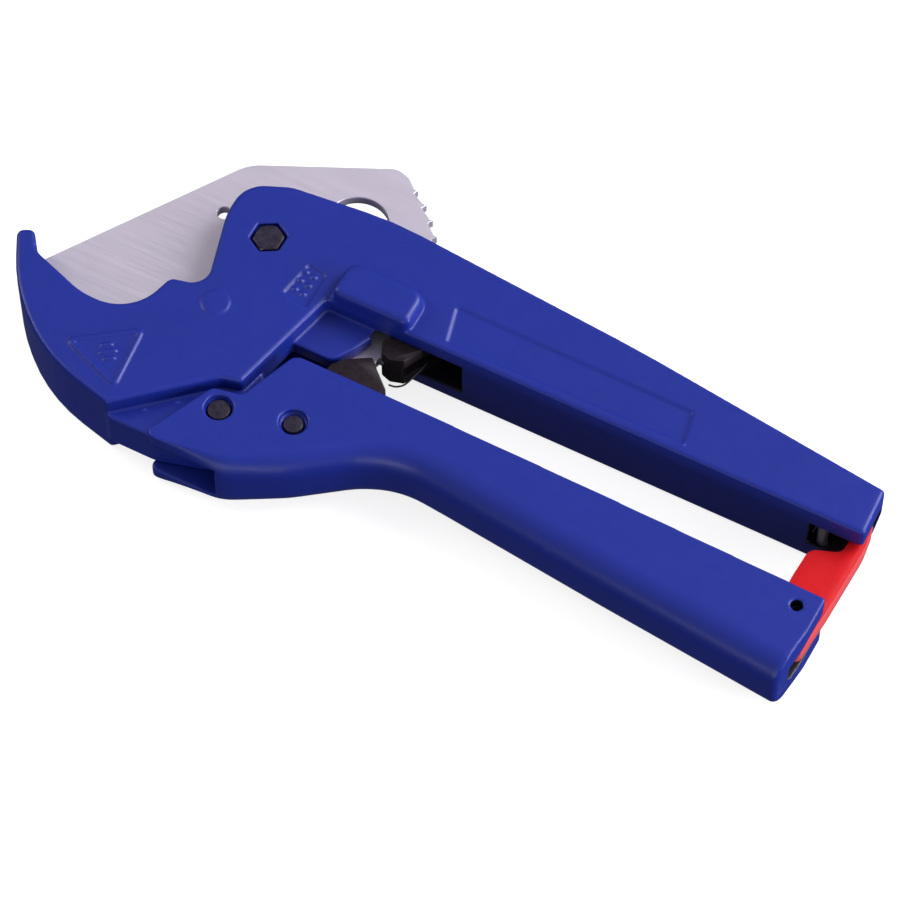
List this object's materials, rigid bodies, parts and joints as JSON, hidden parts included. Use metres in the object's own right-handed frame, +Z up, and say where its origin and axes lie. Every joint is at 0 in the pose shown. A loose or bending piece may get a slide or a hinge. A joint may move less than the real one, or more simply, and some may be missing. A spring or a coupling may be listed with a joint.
{
  "type": "ratcheting pipe cutter",
  "caption": "One-handed ratcheting cutter for plastic pipe: C-shaped cast jaw with upper handle, toothed swing blade, pivoting lever handle and a clip that holds the handles shut.",
  "frame": {"origin": "centre of the bounding box in plan, at the flat back face that the tool lies on", "axes": "+X along the handles to their free end, +Y towards the upper handle, +Z up through the thickness, out of the front face"},
  "size_m": [0.2319, 0.1058, 0.0263],
  "materials": {
    "blue_paint": "satin blue paint on an aluminium die casting",
    "blue_paint_lever": "satin blue paint on an aluminium die casting",
    "blade_steel": "fine ground stainless steel",
    "black_steel": "black oxide",
    "pawl_steel": "dark heat-treated steel",
    "pin_steel": "plain steel",
    "bronze": "sintered bronze",
    "red_plastic": "moulded red plastic",
    "spring_steel": "spring wire"
  },
  "bodies": {
    "body": {"body_casting": "blue_paint", "blade_pivot_bolt": "black_steel", "blade_pivot_nut": "black_steel", "blade_bush": "bronze", "front_washer": "spring_steel", "back_washer": "spring_steel", "blade_spring": "spring_steel", "blade_stop_pin": "black_steel", "holding_pawl_pin": "black_steel", "holding_pawl_spring": "spring_steel", "latch_catch_pin": "pin_steel", "lever_spring": "spring_steel"},
    "blade": {"blade": "blade_steel"},
    "lever": {"ratchet_lever": "blue_paint_lever", "lever_pivot_pin": "black_steel", "drive_pawl_pin": "black_steel", "drive_pawl_spring": "spring_steel", "latch_pivot_pin": "black_steel"},
    "drive_pawl": {"drive_pawl": "pawl_steel"},
    "holding_pawl": {"holding_pawl": "pawl_steel"},
    "latch": {"latch": "red_plastic"}
  },
  "joints": [
    {"name": "blade_hinge", "type": "hinge", "parent": "body", "child": "blade", "pos_m": [-0.0578, 0.01325, 0.011], "axis": [0, 0, 1], "range_deg": [-72, 0], "deforming": ["blade_spring"]},
    {"name": "lever_hinge", "type": "hinge", "parent": "body", "child": "lever", "pos_m": [-0.0445, -0.03725, 0.011], "axis": [0, 0, 1], "range_deg": [-26, 0], "deforming": ["lever_spring"]},
    {"name": "drive_pawl_hinge", "type": "hinge", "parent": "lever", "child": "drive_pawl", "pos_m": [-0.0258, -0.03235, 0.011], "axis": [0, 0, 1], "range_deg": [0, 36], "deforming": ["drive_pawl_spring"]},
    {"name": "holding_pawl_hinge", "type": "hinge", "parent": "body", "child": "holding_pawl", "pos_m": [-0.0092, 0.01005, 0.011], "axis": [0, 0, 1], "range_deg": [0, 12], "stiffness_Nm_per_rad": 0.02, "springref_deg": -8.59, "deforming": ["holding_pawl_spring"]},
    {"name": "latch_hinge", "type": "hinge", "parent": "lever", "child": "latch", "pos_m": [0.109, -0.02155, 0.011], "axis": [0, 0, 1], "range_deg": [-95, 0]}
  ],
  "couplings": [
    {"joint": "drive_pawl_hinge", "follows": "lever_hinge", "ratio": -1.36}
  ]
}
